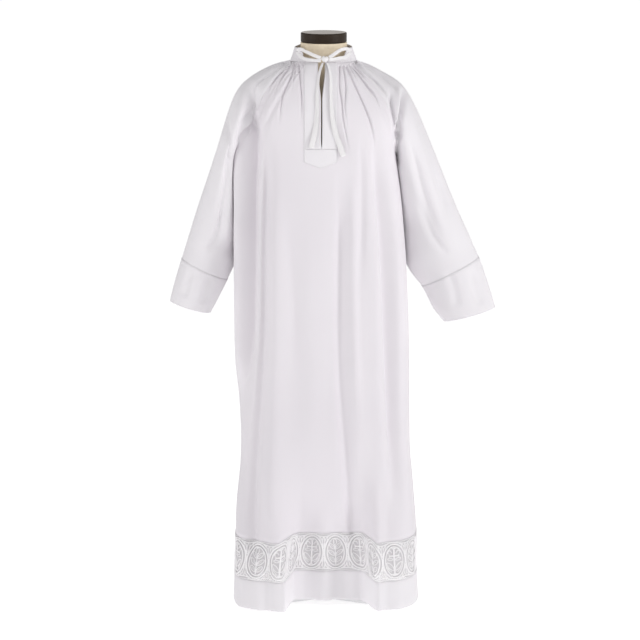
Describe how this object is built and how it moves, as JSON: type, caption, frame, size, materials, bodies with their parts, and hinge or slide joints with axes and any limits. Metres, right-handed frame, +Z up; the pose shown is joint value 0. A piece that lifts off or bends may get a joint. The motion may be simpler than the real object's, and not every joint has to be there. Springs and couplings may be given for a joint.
{
  "type": "alb robe on a limbless dress form",
  "caption": "Long white gathered alb with raglan sleeves, deep cuffs, tied slit neck and a lace band near the hem, hung on a dress form.",
  "frame": {"origin": "centre of the stand's crossed foot, on its flat underside, under the middle of the neck", "axes": "+Z up the pole; the front of the robe faces -Y; +X is the wearer's left"},
  "size_m": [0.8865, 0.3723, 1.569],
  "materials": {
    "alb_cloth": "matt plain-weave polyester cotton, white",
    "alb_lace": "corded net lace, white on a fine open ground",
    "tie_tape": "narrow woven tape, white",
    "form_linen": "smooth linen over a hard shell, cream",
    "cap_wood": "dark stained wood, satin, with a lighter worn top",
    "stand_steel": "plain bare steel, satin"
  },
  "bodies": {
    "root": {"front_panel": "alb_cloth", "back_panel": "alb_cloth", "sleeve_left": "alb_cloth", "sleeve_right": "alb_cloth", "cuff_left": "alb_cloth", "cuff_right": "alb_cloth", "collar_band": "alb_cloth", "placket_left": "alb_cloth", "placket_right": "alb_cloth", "placket_patch": "alb_cloth", "lace_band": "alb_lace", "hem_band": "alb_cloth", "tie_knot": "tie_tape", "tie_loop_left": "tie_tape", "tie_loop_right": "tie_tape", "tie_tail_left": "tie_tape", "tie_tail_right": "tie_tape", "form_torso": "form_linen", "form_neck_cap": "cap_wood", "form_pole": "stand_steel", "form_foot_cross": "stand_steel"}
  },
  "joints": []
}
